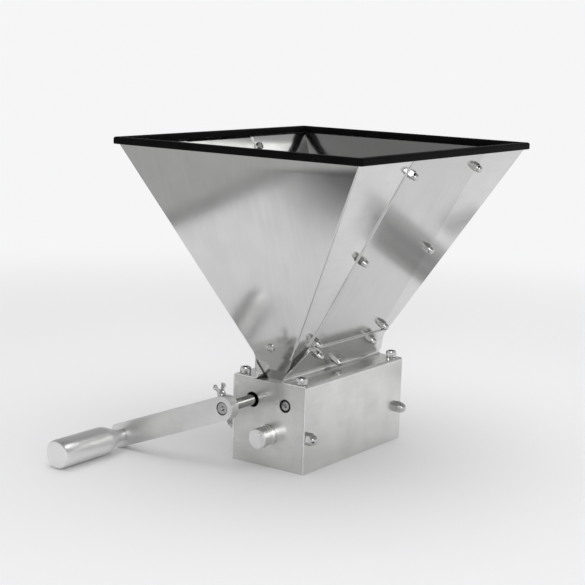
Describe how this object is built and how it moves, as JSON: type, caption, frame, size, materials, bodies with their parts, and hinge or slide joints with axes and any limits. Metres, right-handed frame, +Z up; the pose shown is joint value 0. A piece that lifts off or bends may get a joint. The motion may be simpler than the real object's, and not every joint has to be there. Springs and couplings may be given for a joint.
{
  "type": "malt mill",
  "caption": "Hand-cranked roller mill for malt: a box body with fluted rollers and eccentric gap knobs, a flared sheet metal hopper with a rubber rim, and a crank with a turned grip.",
  "frame": {"origin": "centre of the body's underside, midway between the four base holes", "axes": "+X along the rollers away from the crank, +Y towards the drive roller and the crank's grip, +Z up"},
  "size_m": [0.3532, 0.2775, 0.2886],
  "materials": {
    "hopper_steel": "bright rolled stainless sheet with soft reflections",
    "body_steel": "satin brushed",
    "roller_steel": "milled flutes",
    "shaft_steel": "turned bright",
    "fastener_steel": "polished stainless",
    "crank_aluminium": "satin",
    "rubber_trim": "matt black",
    "bush_plastic": "matt black"
  },
  "bodies": {
    "housing": {"front_end_plate": "body_steel", "rear_end_plate": "body_steel", "left_cover": "body_steel", "right_cover": "body_steel", "cover_screws": "fastener_steel", "lock_studs": "fastener_steel", "dome_nuts": "fastener_steel", "front_drive_bush": "bush_plastic", "rear_drive_bush": "bush_plastic", "front_idler_bush": "bush_plastic", "rear_idler_bush": "bush_plastic", "hopper_front_panel": "hopper_steel", "hopper_rear_panel": "hopper_steel", "hopper_left_panel": "hopper_steel", "hopper_right_panel": "hopper_steel", "seam_screws": "fastener_steel", "seam_nuts": "fastener_steel", "neck_screws": "fastener_steel", "neck_nuts": "fastener_steel", "end_screws": "fastener_steel", "end_nuts": "fastener_steel", "rim_trim": "rubber_trim"},
    "drive": {"drive_shaft": "shaft_steel", "drive_roller": "roller_steel", "crank_arm": "crank_aluminium", "crank_wing_screw": "fastener_steel"},
    "grip": {"grip": "crank_aluminium", "grip_pin": "shaft_steel", "grip_washer": "fastener_steel", "grip_screw": "fastener_steel"},
    "idler": {"idler_axle": "shaft_steel", "idler_roller": "roller_steel"},
    "front_knob": {"front_adjuster": "shaft_steel"},
    "rear_knob": {"rear_adjuster": "shaft_steel"},
    "lower": {"lower_axle": "shaft_steel", "lower_roller": "roller_steel"}
  },
  "joints": [
    {"name": "crank_spin", "type": "hinge", "parent": "housing", "child": "drive", "pos_m": [0, 0.018, 0.059], "axis": [1, 0, 0], "continuous": true},
    {"name": "grip_spin", "type": "hinge", "parent": "drive", "child": "grip", "pos_m": [-0.119, 0.13435, 0.0133], "axis": [1, 0, 0], "continuous": true},
    {"name": "idler_spin", "type": "hinge", "parent": "housing", "child": "idler", "pos_m": [0, -0.018, 0.059], "axis": [1, 0, 0], "continuous": true},
    {"name": "front_adjust", "type": "hinge", "parent": "housing", "child": "front_knob", "pos_m": [-0.08, 0, 0.0291], "axis": [1, 0, 0], "range_deg": [-90, 90]},
    {"name": "rear_adjust", "type": "hinge", "parent": "housing", "child": "rear_knob", "pos_m": [0.08, 0, 0.0291], "axis": [1, 0, 0], "range_deg": [-90, 90]},
    {"name": "lower_spin", "type": "hinge", "parent": "front_knob", "child": "lower", "pos_m": [0, 0, 0.0281], "axis": [1, 0, 0], "continuous": true}
  ],
  "couplings": [
    {"joint": "rear_adjust", "follows": "front_adjust", "ratio": 1}
  ]
}
